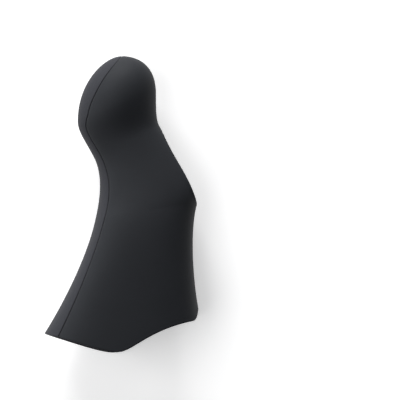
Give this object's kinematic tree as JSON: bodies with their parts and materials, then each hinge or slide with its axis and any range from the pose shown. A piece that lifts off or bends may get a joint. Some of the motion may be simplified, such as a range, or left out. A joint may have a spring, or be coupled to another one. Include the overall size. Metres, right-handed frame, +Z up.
{
  "type": "brake lever hood",
  "caption": "Hollow moulded rubber cover for a drop-bar brake lever, with a rounded horn, a flared rear opening and a lever opening.",
  "frame": {"origin": "middle of the bounding box in plan, on the surface that the hood lies on", "axes": "+Y from the rear rim to the horn, +X from the palm side to the finger side, +Z up from the surface that one flank lies on"},
  "size_m": [0.061, 0.1184, 0.0414],
  "materials": {
    "rubber": "matt black moulded rubber with a fine mould grain"
  },
  "bodies": {
    "root": {"hood": "rubber"}
  },
  "joints": []
}
